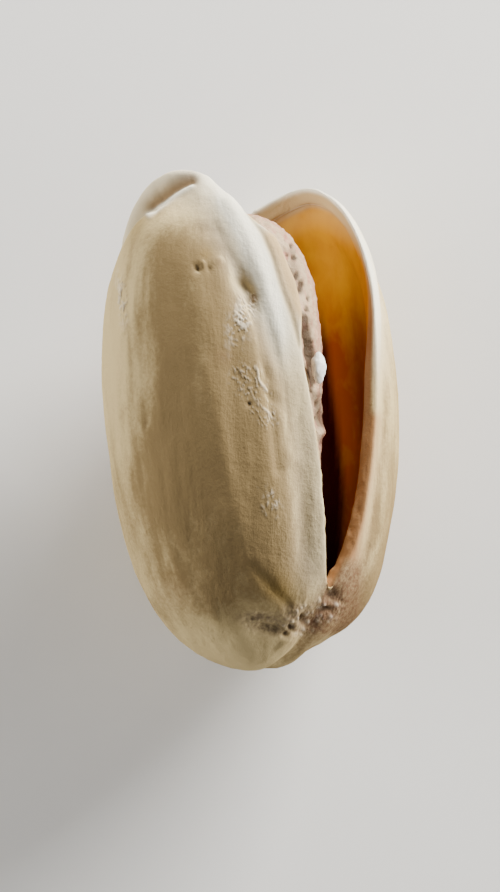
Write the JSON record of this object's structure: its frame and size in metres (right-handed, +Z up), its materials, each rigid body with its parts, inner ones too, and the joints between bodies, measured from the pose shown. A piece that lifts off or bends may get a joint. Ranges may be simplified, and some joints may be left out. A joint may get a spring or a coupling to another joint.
{
  "type": "pistachio in its split shell",
  "caption": "Long pistachio lying on its back, its hard shell split down one seam and gaping towards the tip, with the wrinkled kernel and a salt grain inside.",
  "frame": {"origin": "on the surface it rests on, under the middle of the nut's bounding box", "axes": "+Y along the nut from the stem end to the tip, +Z up, +X towards the side where the front split opens"},
  "size_m": [0.013, 0.0218, 0.0125],
  "materials": {
    "dry_shell": "dry and smooth outside, dusty at the stem end, amber and satin inside",
    "kernel_skin": "thin wrinkled papery skin",
    "salt": "frosted crystal"
  },
  "bodies": {
    "root": {"shell": "dry_shell", "kernel": "kernel_skin", "salt_grain": "salt"}
  },
  "joints": []
}
